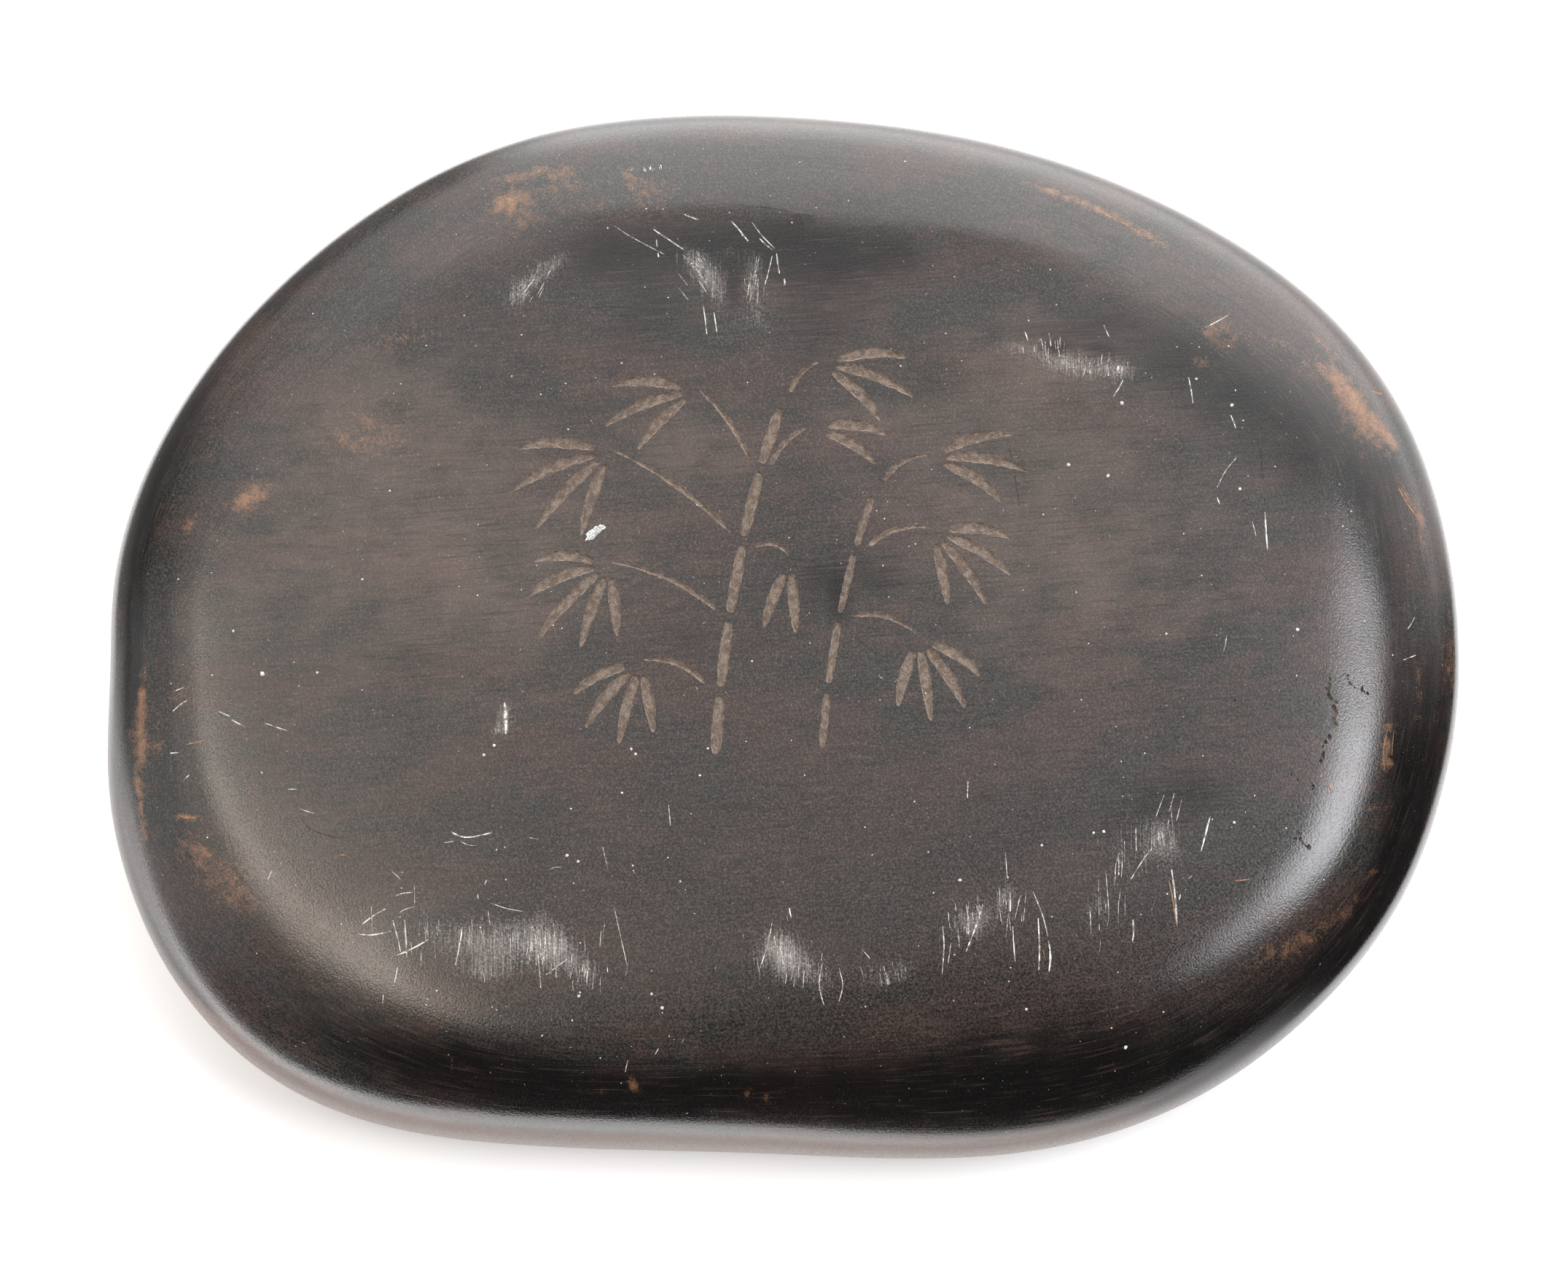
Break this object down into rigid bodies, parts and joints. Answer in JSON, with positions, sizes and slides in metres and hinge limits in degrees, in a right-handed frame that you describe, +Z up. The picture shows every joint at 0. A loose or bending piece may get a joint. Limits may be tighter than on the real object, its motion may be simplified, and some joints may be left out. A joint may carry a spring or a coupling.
{
  "type": "ink stone",
  "caption": "Pebble-shaped slate ink stone with rolled edges, a hollowed grinding face with a crescent ink pool, and a bamboo motif cut in its flat underside.",
  "frame": {"origin": "middle of the footprint, on the plane that the rim of the grinding face rests on", "axes": "+X along the length, +Y to the back, +Z up and out of the flat engraved underside, so the grinding face and its pool open towards -Z"},
  "size_m": [0.22, 0.172, 0.036],
  "materials": {
    "stone": "satin",
    "pigment": "matte"
  },
  "bodies": {
    "root": {"stone": "stone", "pigment_fill": "pigment"}
  },
  "joints": []
}
